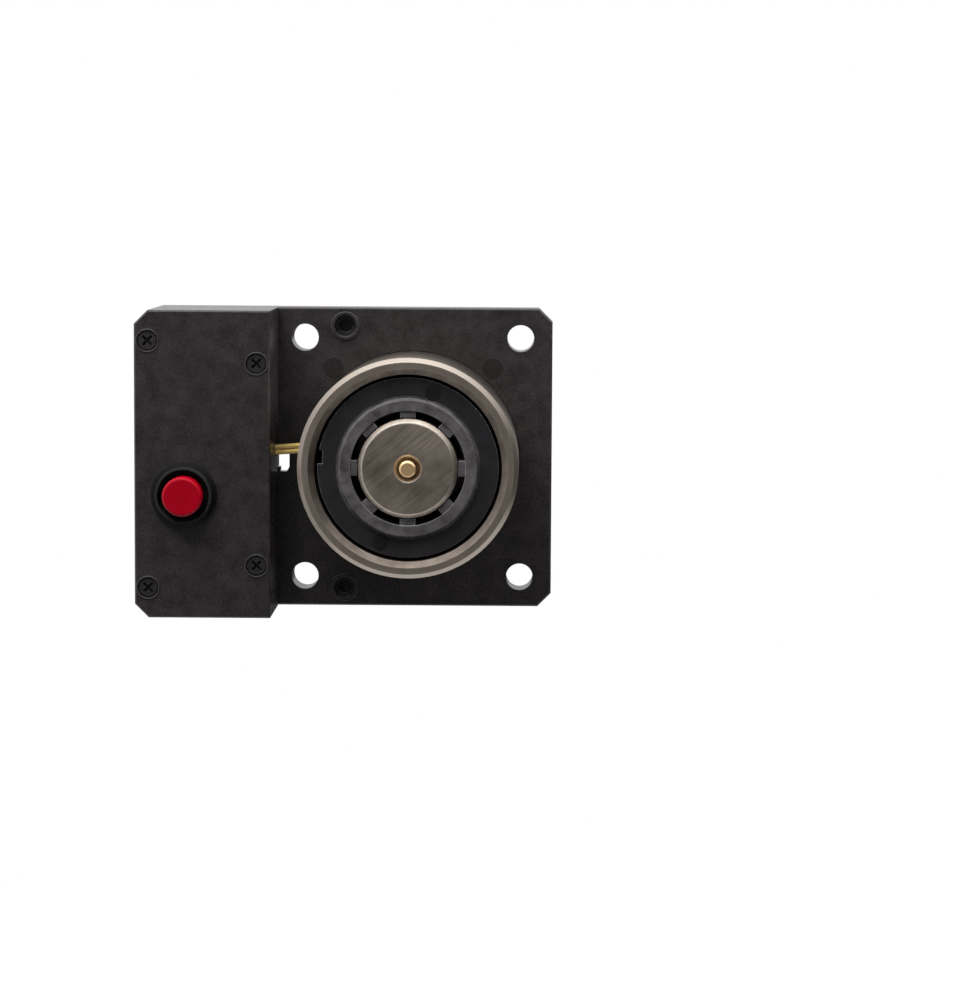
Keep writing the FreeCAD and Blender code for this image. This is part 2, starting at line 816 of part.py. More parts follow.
def make_switch_bezel():
    """Black bezel with a raised lip, and its sleeve through the cover."""
    body = new_body("switch_bezel", button_x, button_z)
    face = cover_front
    bore = at.cap_radius + at.cap_gap
    wide_bore = at.cap_collar_radius + at.cap_gap
    lip_inside = at.lip_radius - at.lip_wall
    lip_top = face + at.lip_rise
    turn(body, "profile", [
        (bore, face + at.lip_floor), (lip_inside - at.lip_round, face + at.lip_floor),
        (lip_inside, lip_top), (at.lip_radius - at.lip_round, lip_top),
        (at.lip_radius, lip_top - at.lip_round),
        (at.lip_radius, face + at.bezel_edge + at.bezel_slope),
        (at.bezel_radius, face + at.bezel_edge), (at.bezel_radius, face),
        (at.sleeve_radius, face), (at.sleeve_radius, sleeve_end),
        (wide_bore, sleeve_end), (wide_bore, face - at.cap_guide), (bore, face - at.cap_guide)])


def make_button_cap():
    """Red cap, hollow for its spring, with a stem to the contacts."""
    body = new_body("button_cap", button_x, button_z)
    top_of_cap = cover_front + at.cap_rise
    collar_front = cover_front - at.cap_guide - at.cap_gap
    collar_back = collar_front - at.cap_collar
    turn(body, "profile", [
        (at.cap_stem_radius, cap_roof_under), (at.cap_stem_radius, stem_end), (0, stem_end),
        (0, top_of_cap), (at.cap_radius, top_of_cap), (at.cap_radius, collar_front),
        (at.cap_collar_radius, collar_front), (at.cap_collar_radius, collar_back),
        (at.cap_hollow_radius, collar_back), (at.cap_hollow_radius, cap_roof_under)])
    round_edges(body, at.cap_round, at_height(top_of_cap))


def make_switch_nut():
    """Hexagonal panel nut behind the cover's face."""
    body = new_body("switch_nut", button_x, button_z)
    sketch = front_sketch(body, "hexagon", cover_front - at.cover_face - at.nut_depth)
    draw_hexagon(sketch, at.nut_across_flats / 2)
    draw_circle(sketch, 0, 0, at.sleeve_radius + at.screw_gap)
    pad(body, sketch, at.nut_depth)


def make_switch_block():
    """Contact block that closes the sleeve, and its two solder tabs."""
    body = new_body("switch_block", button_x, button_z)
    back = sleeve_end - at.block_depth
    sketch = front_sketch(body, "outline", back)
    draw_circle(sketch, 0, 0, at.block_radius)
    pad(body, sketch, at.block_depth)
    well = front_sketch(body, "stem_well", sleeve_end)
    draw_circle(well, 0, 0, at.cap_stem_radius + at.screw_head_gap)
    pocket(body, well, at.button_travel)

    tabs = doc.addObject("Part::MultiFuse", "switch_terminals")
    tabs.Label = "switch_terminals"
    blades = []
    for number, side in enumerate((-1, 1)):
        blade = new_box(f"switch_tab_{number}", at.tab_wall, at.tab_length, at.tab_width)
        middle = button_x + at.tab_spread * side / 2
        put(blade, middle - at.tab_wall / 2, -back, button_z - at.tab_width / 2)
        blades.append(blade)
    tabs.Shapes = blades
    doc.recompute()


def make_circuit_board():
    body = new_body("circuit_board")
    sketch = front_sketch(body, "outline", board_back)
    draw_rectangle(sketch, board_left, board_right, at.board_bottom, board_top)
    for x, z in board_screw_places:
        draw_circle(sketch, x, z, at.board_screw_radius + at.screw_gap)
    pad(body, sketch, at.board_wall)


def make_board_screw(number, x, z):
    body = new_body(f"board_screw_{number}", x, z)
    head_top = board_front + at.board_screw_head_depth
    tip = board_front - at.board_screw_length
    edge = at.board_screw_head_edge
    turn(body, "profile", [
        (0, tip), (at.board_screw_radius, tip), (at.board_screw_radius, board_front),
        (at.board_screw_head_radius, board_front),
        (at.board_screw_head_radius, head_top - edge),
        (at.board_screw_head_radius - edge, head_top), (0, head_top)])


def make_terminal_block():
    """Two-way block for the supply, with its clamp screws."""
    body = new_body("terminal_block")
    high = board_top - at.block_from_top
    low = high - at.block_tall
    front = board_front + at.block_high
    sketch = front_sketch(body, "outline", board_front)
    draw_rectangle(sketch, cover_middle - at.block_wide / 2, cover_middle + at.block_wide / 2,
                   low, high)
    pad(body, sketch, at.block_high)
    poles = [cover_middle + at.pole_pitch * side / 2 for side in (-1, 1)]
    wells = front_sketch(body, "clamp_wells", front)
    entries = new_sketch(body, "entries", "XY_Plane", low)
    for x in poles:
        draw_circle(wells, x, (low + high) / 2, at.clamp_radius + at.screw_gap)
        draw_circle(entries, x, -(board_front + at.entry_height), at.entry_radius)
    pocket(body, wells, at.clamp_well)
    pocket(body, entries, at.entry_depth, from_behind=True)

    screws = doc.addObject("Part::MultiFuse", "terminal_screws")
    screws.Label = "terminal_screws"
    pair = []
    seat = front - at.clamp_well
    for number, x in enumerate(poles):
        screw = new_cylinder(f"clamp_screw_{number}", at.clamp_radius, at.clamp_depth,
                             Vector(0, -1, 0))
        put(screw, x, -seat, (low + high) / 2)
        pair.append(screw)
    screws.Shapes = pair
    doc.recompute()


def make_suppression_diode():
    """Diode across the coil, on flat legs that are bent down to the board."""
    middle_height = board_front + at.diode_radius + at.screw_head_gap
    middle_z = at.board_bottom + at.diode_above_board
    half = at.diode_length / 2
    reach = half + at.diode_leg_reach
    barrel = new_cylinder("diode_barrel", at.diode_radius, at.diode_length, Vector(1, 0, 0))
    put(barrel, cover_middle - half, -middle_height, middle_z)
    pieces = [barrel]
    leg = at.diode_leg
    for number, start in enumerate((cover_middle - reach, cover_middle + half)):
        run = new_box(f"diode_leg_{number}", reach - half, leg, leg)
        put(run, start, -middle_height - leg / 2, middle_z - leg / 2)
        pieces.append(run)
    for number, start in enumerate((cover_middle - reach, cover_middle + reach - leg)):
        foot = new_box(f"diode_foot_{number}", leg, middle_height - board_front + leg / 2, leg)
        put(foot, start, -middle_height - leg / 2, middle_z - leg / 2)
        pieces.append(foot)
    diode = doc.addObject("Part::MultiFuse", "suppression_diode")
    diode.Label = "suppression_diode"
    diode.Shapes = pieces
    doc.recompute()


def check_document(names):
    """Stop if any object failed or any piece is empty or broken."""
    for item in doc.Objects:
        if "Invalid" in item.State or "Error" in item.State:
            raise RuntimeError(f"{item.Name} failed: {item.State}")
    for name in names:
        shape = doc.getObject(name).Shape
        if shape.isNull() or not shape.isValid() or not shape.Solids:
            raise RuntimeError(f"{name} has no sound shape")


def piece_names():
    """Names of the finished pieces: those that no other object is made from."""
    names = []
    for item in doc.Objects:
        if item.isDerivedFrom("PartDesign::Body"):
            names.append(item.Name)
        elif item.isDerivedFrom("Part::Sweep") or item.isDerivedFrom("Part::MultiFuse"):
            names.append(item.Name)
        elif item.TypeId == "Part::Feature":
            names.append(item.Name)
    return names


doc = FreeCAD.newDocument("magnet_unit")
at = SizeSheet(SIZES)

# Places that several pieces share
left = -at.magnet_from_left
right = at.base_width - at.magnet_from_left
top = at.base_tall / 2
bottom = -top
cover_right = left + at.cover_width
cover_middle = left + at.cover_width / 2
cover_front = at.base_depth + at.cover_depth
magnet_back = at.base_depth - at.magnet_seat
coil_back = magnet_back + at.pot_floor
bobbin_front = at.pole_height - at.bobbin_below_pole
bobbin_radius = at.pot_radius - at.pot_wall - at.bobbin_gap
coil_radius = bobbin_radius - at.coil_below_flange
collar_top = at.pole_height - at.collar_below_pole
window_radius = at.core_radius + at.bobbin_window
tube_radius = window_radius + at.bobbin_tube_wall
pin_shoulder = at.pole_height - at.pin_shoulder_depth
plug_front = magnet_back + at.plug_sink + at.plug_length
button_x = left + at.button_from_left
button_z = -at.button_below_axis
sleeve_end = cover_front - at.sleeve_length
cap_roof_under = cover_front + at.cap_rise - at.cap_roof
stem_end = sleeve_end + at.cap_stem_rest
board_back = at.base_depth + at.board_stand
board_front = board_back + at.board_wall
board_right = cover_right - at.board_from_right
board_left = board_right - at.board_width
board_top = top - at.cover_wall - at.board_from_cover
lead_pad_x = board_right - at.lead_pad_inset
lead_end_x = -coil_radius - at.tape_wall - at.coil_gap

seat_inset = at.screw_head_radius + at.screw_head_gap + at.screw_rim + at.cover_edge_cut
post_radius = at.screw_head_radius + at.screw_head_gap + at.screw_post_wall
left_screw_z = top - at.left_screw_from_edge
right_screw_z = top - at.right_screw_from_edge
cover_screw_places = [(left + seat_inset, left_screw_z),
                      (left + seat_inset, -left_screw_z),
                      (cover_right - seat_inset, right_screw_z),
                      (cover_right - seat_inset, -right_screw_z)]
mount_places = [(x, z)
                for x in (-at.mount_spacing_x / 2, at.mount_spacing_x / 2)
                for z in (bottom + at.mount_from_edge, top - at.mount_from_edge)]
boss_places = [(-at.boss_left, top - at.boss_from_edge),
               (-at.boss_left, bottom + at.boss_from_edge)]
magnet_screw_circle = at.pot_radius - at.magnet_screw_inset
magnet_screw_places = [(magnet_screw_circle * math.cos(math.radians(angle)),
                        magnet_screw_circle * math.sin(math.radians(angle)))
                       for angle in (90, 210, 330)]
board_screw_places = [
    (board_left + at.board_screw_inset, at.board_bottom + at.board_screw_inset),
    (board_right - at.board_screw_inset, board_top - at.board_screw_inset)]

make_base_plate()
make_terminal_cover()
for number, (x, z) in enumerate(cover_screw_places, 1):
    make_cover_screw(number, x, z)
make_magnet_pot()
make_magnet_core()
make_spring_plug()
for number, (x, z) in enumerate(magnet_screw_places, 1):
    make_magnet_screw(number, x, z)
make_push_off_pin()
make_spring("push_off_spring", 0, 0, (at.chamber_radius + at.pin_stem_radius) / 2,
            at.pin_spring_wire, at.pin_spring_turns,
            plug_front, pin_shoulder - at.chamber_gap - at.pin_collar)
make_coil_bobbin()
make_coil()
make_lead("lead_wire_upper", at.lead_middle + at.lead_pitch / 2)
make_lead("lead_wire_lower", at.lead_middle - at.lead_pitch / 2)
make_switch_bezel()
make_button_cap()
make_spring("button_spring", button_x, button_z, at.button_spring_radius,
            at.button_spring_wire, at.button_spring_turns, sleeve_end, cap_roof_under)
make_switch_nut()
make_switch_block()
make_circuit_board()
for number, (x, z) in enumerate(board_screw_places, 1):
    make_board_screw(number, x, z)
make_terminal_block()
make_suppression_diode()

doc.recompute()
pieces = piece_names()
check_document(pieces)
os.makedirs("parts", exist_ok=True)
for name in pieces:
    doc.getObject(name).Shape.exportStep(f"parts/{name}.step")
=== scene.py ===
"""Looks of the wall-mounted magnet unit of a door holder, for Blender 4.5."""
import json
import math

import bpy
from mathutils import Matrix, Vector


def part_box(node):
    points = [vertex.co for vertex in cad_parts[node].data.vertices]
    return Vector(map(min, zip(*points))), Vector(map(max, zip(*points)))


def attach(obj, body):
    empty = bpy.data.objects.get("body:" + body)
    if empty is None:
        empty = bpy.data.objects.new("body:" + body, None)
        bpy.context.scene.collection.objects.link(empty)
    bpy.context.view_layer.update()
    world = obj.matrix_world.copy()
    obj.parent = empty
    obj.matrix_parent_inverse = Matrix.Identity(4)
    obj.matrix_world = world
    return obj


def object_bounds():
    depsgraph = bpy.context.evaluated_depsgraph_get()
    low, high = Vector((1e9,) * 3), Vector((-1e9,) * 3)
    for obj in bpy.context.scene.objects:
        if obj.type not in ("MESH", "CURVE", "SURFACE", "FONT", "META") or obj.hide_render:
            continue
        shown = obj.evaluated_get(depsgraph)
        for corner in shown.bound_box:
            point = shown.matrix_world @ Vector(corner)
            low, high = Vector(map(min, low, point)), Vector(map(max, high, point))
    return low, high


MM = 0.001
WHITE = (1, 1, 1)
BLACK = (0, 0, 0)

# Camera, set against the photograph: place in millimetres, turns in degrees
CAMERA_PLACE = (32.2, -721.5, 74.4)
CAMERA_PITCH = -4.18
CAMERA_ROLL = 0.384
CAMERA_SHIFT = (-0.04, -0.12)
FOCAL_PIXELS = 2524.0
PICTURE_HEIGHT = 1000.0
SENSOR = 36.0

# Lamps, aimed at the origin: place and size in metres, power in watts
LAMPS = {
    "overhead": ((-0.26, -0.26, 0.59), (0.5, 0.3), 11.6),
    "right_side": ((0.95, -0.15, 0.65), (0.5, 0.4), 17.0),
}

# The room, by the direction in which a ray leaves. A range gives its two ends on x, y or z and
# then the values at both, which are otherwise 0 and 1. The walls are brighter above the horizon
# (z) and away from straight in front (y), and darker at the right (x); the rest goes by z
WALL_LEVEL = (-0.28, 0.04, 0.02, 0.25)
WALL_SIDE = (-0.9, -0.4, 0.0, 0.95)
WALL_RIGHT = (0.1, 0.7, 1.0, 0.1)
ROOM_ABOVE = (0.2, 0.9, 0.0, 1.85)
ROOM_BELOW = (-0.95, -0.4, 0.15, 0.0)

# The backdrop starts behind the object, on y less a share of x. Reflections see it darker below
# the horizon (z), except at the left (x)
BACKDROP_START = (-0.1, 0.35)
BACKDROP_LEAN = 0.2
BACKDROP_HORIZON = (-0.06, 0.01, 0.1, 1.0)
BACKDROP_LEFT = (-0.3, -0.7)

# Diffuse rays see the room dimmed by a share, and an even grey backdrop
ROOM_DIM = 0.68
BACKDROP_GREY = 0.55

# Floor of the studio, in metres. It fades to white between two shares of its radius, glows
# faintly inside them, and shows in reflections only over a range of depth behind the object
FLOOR_DROP = 0.4
FLOOR_MIDDLE = (0.08, 0.42)
FLOOR_RADIUS = 0.8
FLOOR_SIDES = 96
FLOOR_GREY = 0.5
FLOOR_FADE = (0.35, 0.55)
FLOOR_GLOW = 0.3
FLOOR_MIRRORED = (0.1, 0.6)

# Raised rims round the cover screws, and the marks of the ejector pins, in millimetres and
# degrees. Each is half sunk in its surface
RIM_RADIUS = 3.05
RIM_WIRE = 0.24
MARK_HEIGHT = 0.12
BASE_DEPTH = 8.0
BASE_MARK_RADIUS = 2.9
BASE_MARK_PLACES = [(22.5, 25.5), (-22.5, 25.5)]
BOBBIN_BELOW_POLE = 2.2
BOBBIN_MARK_RADIUS = 2.25
BOBBIN_MARK_CIRCLE = 21.75
BOBBIN_MARK_ANGLES = (72, 250)
ROUND_SIDES = 48
WIRE_SIDES = 8

# Radii at which the bobbin, the pot and the bezel change their finish, in millimetres; the pot's
# inner chamfer takes painted shade and the bezel's lip a painted highlight. The collar's fades out
# over a width outside its radius, and the chamfers' over a width to either side of theirs. The
# lip's painted highlight fades out between two distances from its own
COLLAR_RADIUS = 19.6
COLLAR_FADE = 0.2
CHAMFER_RADIUS = 27.3
RIM_CHAMFER_RADIUS = 29.1
CHAMFER_FADE = 0.1
LIP_RADIUS = 7.4
LIP_FADE = (0.55, 0.15)

# Tones laid over a finish
COLLAR_TONES = ((0.027, 0.025, 0.027), (0.085, 0.079, 0.083))
# The inner chamfer's tones are painted shade
CHAMFER_SHADE_TONES = ((0.15, 0.12, 0.10), (0.29, 0.25, 0.218))
RIM_TONE = (0.36, 0.315, 0.275)
# The lip's tone is a painted highlight
LIP_HIGHLIGHT_TONE = (0.018, 0.019, 0.019)
WORN_TONE = (0.12, 0.10, 0.09)
# The edge tone is a painted highlight
EDGE_HIGHLIGHT_TONE = (0.95, 0.91, 0.86)

# Samples of the rounded edges, and the depth of the metal's relief in millimetres
BEVEL_SAMPLES = 6
METAL_RELIEF = 0.02

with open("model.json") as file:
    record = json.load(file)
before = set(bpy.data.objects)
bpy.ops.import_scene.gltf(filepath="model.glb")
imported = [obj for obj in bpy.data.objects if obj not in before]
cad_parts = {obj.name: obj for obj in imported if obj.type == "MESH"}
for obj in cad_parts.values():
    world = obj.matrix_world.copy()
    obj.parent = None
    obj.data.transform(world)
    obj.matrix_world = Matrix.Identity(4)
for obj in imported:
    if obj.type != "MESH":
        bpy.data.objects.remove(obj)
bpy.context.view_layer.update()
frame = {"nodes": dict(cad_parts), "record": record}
nodes = frame["nodes"]


def put_value(tree, socket, value):
    """Link a socket to another, or give it a plain value. A colour has no alpha of its own."""
    if isinstance(value, bpy.types.NodeSocket):
        tree.links.new(value, socket)
    elif socket.type == "RGBA":
        socket.default_value = (*value, 1)
    else:
        socket.default_value = value


def add_node(tree, kind, inputs=None, **settings):
    """Shader node with its settings and its inputs, by name or number."""
    item = tree.nodes.new(f"ShaderNode{kind}")
    for name, value in settings.items():
        setattr(item, name, value)
    for name, value in (inputs or {}).items():
        put_value(tree, item.inputs[name], value)
    return item


def math_node(tree, operation, first, second=0.0, clamp=False):
    """One sum, with plain numbers or sockets."""
    return add_node(tree, "Math", {0: first, 1: second}, operation=operation,
                    use_clamp=clamp).outputs[0]


def weigh(tree, first, share, second, clamp=False):
    """Two values added up: the first by its share, the second by the rest."""
    return math_node(tree, "ADD", math_node(tree, "MULTIPLY", first, share),
                     math_node(tree, "MULTIPLY", second, 1.0 - share), clamp=clamp)


def mix_colours(tree, factor, first, second, blend="MIX"):
    """The first colour at a factor of 0, the second at 1."""
    return add_node(tree, "Mix", {"Factor": factor, 6: first, 7: second}, data_type="RGBA",
                    blend_type=blend).outputs[2]


def map_range(tree, value, low, high, to_low=0.0, to_high=1.0):
    """A value carried over from one range to another, and kept inside it."""
    return add_node(tree, "MapRange", {"Value": value, "From Min": low, "From Max": high,
                                       "To Min": to_low, "To Max": to_high}).outputs[0]


def noise(tree, vector, scale, detail, roughness):
    """Noise from 0 to 1, mostly near the middle."""
    return add_node(tree, "TexNoise", {"Vector": vector, "Scale": scale, "Detail": detail,
                                       "Roughness": roughness}).outputs["Fac"]


def new_group(name, inputs, outputs):
    """Empty shader group with named sockets; returns it with its two ends."""
    group = bpy.data.node_groups.new(name, "ShaderNodeTree")
    for socket, kind, value in inputs:
        made = group.interface.new_socket(socket, in_out="INPUT", socket_type=f"NodeSocket{kind}")
        if value is not None:
            made.default_value = value
    for socket, kind in outputs:
        group.interface.new_socket(socket, in_out="OUTPUT", socket_type=f"NodeSocket{kind}")
    start = group.nodes.new("NodeGroupInput")
    end = group.nodes.new("NodeGroupOutput")
    return group, start.outputs, end.inputs


def use_group(tree, group, inputs):
    """Shader group set in a tree; returns its outputs."""
    item = tree.nodes.new("ShaderNodeGroup")
    item.node_tree = group
    for name, value in inputs.items():
        put_value(tree, item.inputs[name], value)
    return item.outputs


def make_grain_group():
    """Moulded plastic: pale mottling and fine eroded grain."""
    group, given, out = new_group(
        "moulded_grain",
        [("Vector", "Vector", None), ("Dark", "Color", None), ("Pale", "Color", None),
         ("Mottle Scale", "Float", 60.0), ("Grain Scale", "Float", 1500.0),
         ("Rough Low", "Float", 0.4), ("Rough High", "Float", 0.6)],
        [("Color", "Color"), ("Roughness", "Float"), ("Height", "Float")])
    mottle = noise(group, given["Vector"], given["Mottle Scale"], 5.0, 0.6)
    grain = noise(group, given["Vector"], given["Grain Scale"], 2.0, 0.6)
    speckle = map_range(group, grain, 0.28, 0.72)
    cloud = map_range(group, mottle, 0.3, 0.72)
    blend = weigh(group, cloud, 0.6, speckle, clamp=True)
    put_value(group, out["Color"], mix_colours(group, blend, given["Dark"], given["Pale"]))
    put_value(group, out["Roughness"],
              map_range(group, grain, 0.3, 0.7, given["Rough Low"], given["Rough High"]))
    put_value(group, out["Height"], weigh(group, grain, 0.7, mottle))
    return group


def make_streak_group():
    """Long fine streaks across the XZ plane, turned by an angle."""
    group, given, out = new_group(
        "brushed_streaks",
        [("Vector", "Vector", None), ("Turn", "Float", 0.0), ("Along", "Float", 90.0),
         ("Depth", "Float", 200.0), ("Across", "Float", 2600.0)],
        [("Mask", "Float"), ("Height", "Float")])
    turned = add_node(group, "VectorRotate", {"Vector": given["Vector"], "Angle": given["Turn"]},
                      rotation_type="Y_AXIS").outputs[0]
    stretch = add_node(group, "CombineXYZ",
                       {0: given["Along"], 1: given["Depth"], 2: given["Across"]}).outputs[0]
    scaled = add_node(group, "VectorMath", {0: turned, 1: stretch},
                      operation="MULTIPLY").outputs[0]
    fine = noise(group, scaled, 1.0, 4.0, 0.7)
    broad = noise(group, scaled, 0.22, 2.0, 0.5)
    both = weigh(group, fine, 0.6, broad)
    put_value(group, out["Mask"], map_range(group, both, 0.34, 0.66))
    put_value(group, out["Height"], fine)
    return group


def make_turned_group():
    """The distance from the Y axis, and fine rings about it, as a lathe leaves them."""
    group, given, out = new_group(
        "turned_rings",
        [("Vector", "Vector", None), ("Rings", "Float", 3500.0)],
        [("Radius", "Float"), ("Mask", "Float")])
    x, y, z = add_node(group, "SeparateXYZ", {0: given["Vector"]}).outputs
    flat = add_node(group, "CombineXYZ", {0: x, 1: 0.0, 2: z}).outputs[0]
    radius = add_node(group, "VectorMath", {0: flat}, operation="LENGTH").outputs["Value"]
    put_value(group, out["Radius"], radius)
    along = math_node(group, "MULTIPLY", radius, given["Rings"])
    depth = math_node(group, "MULTIPLY", y, given["Rings"])
    line = add_node(group, "CombineXYZ", {0: along, 1: depth, 2: 0.0}).outputs[0]
    put_value(group, out["Mask"], noise(group, line, 1.0, 3.0, 0.6))
    return group


def make_worn_group():
    """Small chips and worn spots, as a mask from 0 to 1."""
    group, given, out = new_group(
        "worn_spots",
        [("Vector", "Vector", None), ("Scale", "Float", 400.0), ("Amount", "Float", 0.2)],
        [("Mask", "Float")])
    spots = noise(group, given["Vector"], given["Scale"], 6.0, 0.65)
    edge = math_node(group, "SUBTRACT", 0.8, math_node(group, "MULTIPLY", given["Amount"], 0.4))
    full = math_node(group, "ADD", edge, 0.06)
    put_value(group, out["Mask"], map_range(group, spots, edge, full))
    return group


def make_edge_group():
    """Rounded edges: a softened normal, and a mask of where it bends, along which highlights are
    painted.
    """
    group, given, out = new_group(
        "rounded_edge_highlight",
        [("Vector", "Vector", None), ("Radius", "Float", 0.0002)],
        [("Mask", "Float"), ("Normal", "Vector")])
    rounded = add_node(group, "Bevel", {"Radius": given["Radius"]},
                       samples=BEVEL_SAMPLES).outputs[0]
    plain = add_node(group, "NewGeometry").outputs["Normal"]
    likeness = add_node(group, "VectorMath", {0: rounded, 1: plain},
                        operation="DOT_PRODUCT").outputs["Value"]
    bend = map_range(group, likeness, 0.995, 0.88)
    patchy = map_range(group, noise(group, given["Vector"], 420.0, 3.0, 0.6), 0.3, 0.65, 0.45, 1.0)
    put_value(group, out["Mask"], math_node(group, "MULTIPLY", bend, patchy))
    put_value(group, out["Normal"], rounded)
    return group


GRAIN = make_grain_group()
STREAKS = make_streak_group()
RINGS = make_turned_group()
WORN = make_worn_group()
EDGES = make_edge_group()


def start_material(name, **settings):
    """Material with a Principled shader; returns its tree, shader and place."""
    material = bpy.data.materials.new(name)
    material.use_nodes = True
    tree = material.node_tree
    shader = tree.nodes["Principled BSDF"]
    for socket, value in settings.items():
        put_value(tree, shader.inputs[socket.replace("_", " ")], value)
    place = add_node(tree, "TexCoord").outputs["Object"]
    return material, tree, shader, place


def reopen_material(material):
    """A made material's tree, shader and place, for more to be laid over it."""
    tree = material.node_tree
    place = add_node(tree, "TexCoord").outputs["Object"]
    return tree, tree.nodes["Principled BSDF"], place


def lay_over(tree, shader, mask, colour):
    """Lay a colour over the shader's own, where a mask is 1."""
    base = shader.inputs["Base Color"]
    put_value(tree, base, mix_colours(tree, mask, base.links[0].from_socket, colour))


def clouded(tree, place, scale, dark, pale):
    """Colour that drifts between two tones in soft clouds."""
    cloud = map_range(tree, noise(tree, place, scale, 4.0, 0.6), 0.3, 0.7)
    return mix_colours(tree, cloud, dark, pale)


def bump(tree, shader, height, strength, depth, normal):
    """Relief on the shader's surface, with its depth in millimetres."""
    item = add_node(tree, "Bump", {"Height": height, "Strength": strength,
                                   "Distance": depth * MM, "Normal": normal})
    put_value(tree, shader.inputs["Normal"], item.outputs[0])


def moulded(name, dark, pale, mottle=60.0, grain=1500.0, rough=(0.28, 0.40), depth=0.015,
            edge=0.25, gloss=0.25, edge_highlight=0.05):
    """Moulded plastic in two near shades, with a painted highlight along its edges."""
    material, tree, shader, place = start_material(name, Specular_IOR_Level=gloss)
    made = use_group(tree, GRAIN, {
        "Vector": place, "Dark": dark, "Pale": pale, "Mottle Scale": mottle,
        "Grain Scale": grain, "Rough Low": rough[0], "Rough High": rough[1]})
    edges = use_group(tree, EDGES, {"Vector": place, "Radius": edge * MM})
    # Paler colour along the edges: a painted highlight
    edge_highlight_colour = [shade * (1 - edge_highlight) + edge_highlight for shade in pale]
    put_value(tree, shader.inputs["Base Color"],
              mix_colours(tree, edges["Mask"], made["Color"], edge_highlight_colour))
    put_value(tree, shader.inputs["Roughness"], made["Roughness"])
    bump(tree, shader, made["Height"], 0.5, depth, edges["Normal"])
    return material


def pale_collar(material):
    """The bobbin's collar and ribs, inside a radius, are paler than its flange."""
    tree, shader, place = reopen_material(material)
    radius = use_group(tree, RINGS, {"Vector": place})["Radius"]
    inside = map_range(tree, radius, (COLLAR_RADIUS + COLLAR_FADE) * MM, COLLAR_RADIUS * MM)
    plain = shader.inputs["Base Color"].links[0].from_socket
    collar_tone = clouded(tree, place, 300.0, *COLLAR_TONES)
    lay_over(tree, shader, inside, mix_colours(tree, 1.0, plain, collar_tone, blend="LIGHTEN"))
    return material


def tone_chamfers(material):
    """The pot's inner chamfer gets painted shade, darker and browner, and is rougher; its rim has
    one even tone.
    """
    tree, shader, place = reopen_material(material)
    radius = use_group(tree, RINGS, {"Vector": place})["Radius"]
    inside = map_range(tree, radius, (CHAMFER_RADIUS + CHAMFER_FADE) * MM,
                       (CHAMFER_RADIUS - CHAMFER_FADE) * MM)
    rim = map_range(tree, radius, (RIM_CHAMFER_RADIUS - CHAMFER_FADE) * MM,
                    (RIM_CHAMFER_RADIUS + CHAMFER_FADE) * MM)
    lay_over(tree, shader, rim, RIM_TONE)
    # Painted shade: the inner chamfer darker and browner
    lay_over(tree, shader, inside, clouded(tree, place, 200.0, *CHAMFER_SHADE_TONES))
    rough = shader.inputs["Roughness"]
    more = math_node(tree, "MULTIPLY", inside, 0.1)
    put_value(tree, rough, math_node(tree, "ADD", rough.links[0].from_socket, more))
    return material


def paint_lip_highlight(material):
    """The bezel's lip gets a painted highlight along its rounded edge."""
    tree, shader, place = reopen_material(material)
    low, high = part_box("switch_bezel")
    moved = add_node(tree, "VectorMath", {0: place, 1: (low + high) / 2},
                     operation="SUBTRACT").outputs[0]
    radius = use_group(tree, RINGS, {"Vector": moved})["Radius"]
    off = math_node(tree, "ABSOLUTE", math_node(tree, "SUBTRACT", radius, LIP_RADIUS * MM))
    line = map_range(tree, off, LIP_FADE[0] * MM, LIP_FADE[1] * MM)
    lay_over(tree, shader, line, LIP_HIGHLIGHT_TONE)
    return material


def turned_metal(name, dark, pale, rough, rings=3500.0, edge=0.2, worn=0.0, metal=1.0):
    """Lathe-turned metal about the magnet's axis."""
    material, tree, shader, place = start_material(name, Metallic=metal)
    made = use_group(tree, RINGS, {"Vector": place, "Rings": rings})
    cloud = noise(tree, place, 90.0, 4.0, 0.6)
    shade = map_range(tree, weigh(tree, made["Mask"], 0.5, cloud), 0.36, 0.64)
    put_value(tree, shader.inputs["Base Color"], mix_colours(tree, shade, dark, pale))
    if worn:
        spots = use_group(tree, WORN, {"Vector": place, "Scale": 500.0, "Amount": worn})
        lay_over(tree, shader, spots["Mask"], WORN_TONE)
    put_value(tree, shader.inputs["Roughness"], map_range(tree, made["Mask"], 0.3, 0.7, *rough))
    rounded = add_node(tree, "Bevel", {"Radius": edge * MM}, samples=BEVEL_SAMPLES).outputs[0]
    bump(tree, shader, made["Mask"], 0.25, METAL_RELIEF, rounded)
    return material


def ground_metal(name, dark, pale, rough, turn, edge):
    """Flat ground metal with slanting streaks and a painted highlight along its edges."""
    material, tree, shader, place = start_material(name, Metallic=1.0)
    made = use_group(tree, STREAKS, {"Vector": place, "Turn": math.radians(turn)})
    cloud = map_range(tree, noise(tree, place, 75.0, 5.0, 0.6), 0.38, 0.62)
    shade = weigh(tree, made["Mask"], 0.45, cloud)
    put_value(tree, shader.inputs["Base Color"], mix_colours(tree, shade, dark, pale))
    edges = use_group(tree, EDGES, {"Vector": place, "Radius": edge * MM})
    # Painted highlight along the edges
    lay_over(tree, shader, edges["Mask"], EDGE_HIGHLIGHT_TONE)
    put_value(tree, shader.inputs["Roughness"], map_range(tree, made["Height"], 0.3, 0.7, *rough))
    bump(tree, shader, made["Height"], 0.15, METAL_RELIEF, edges["Normal"])
    return material


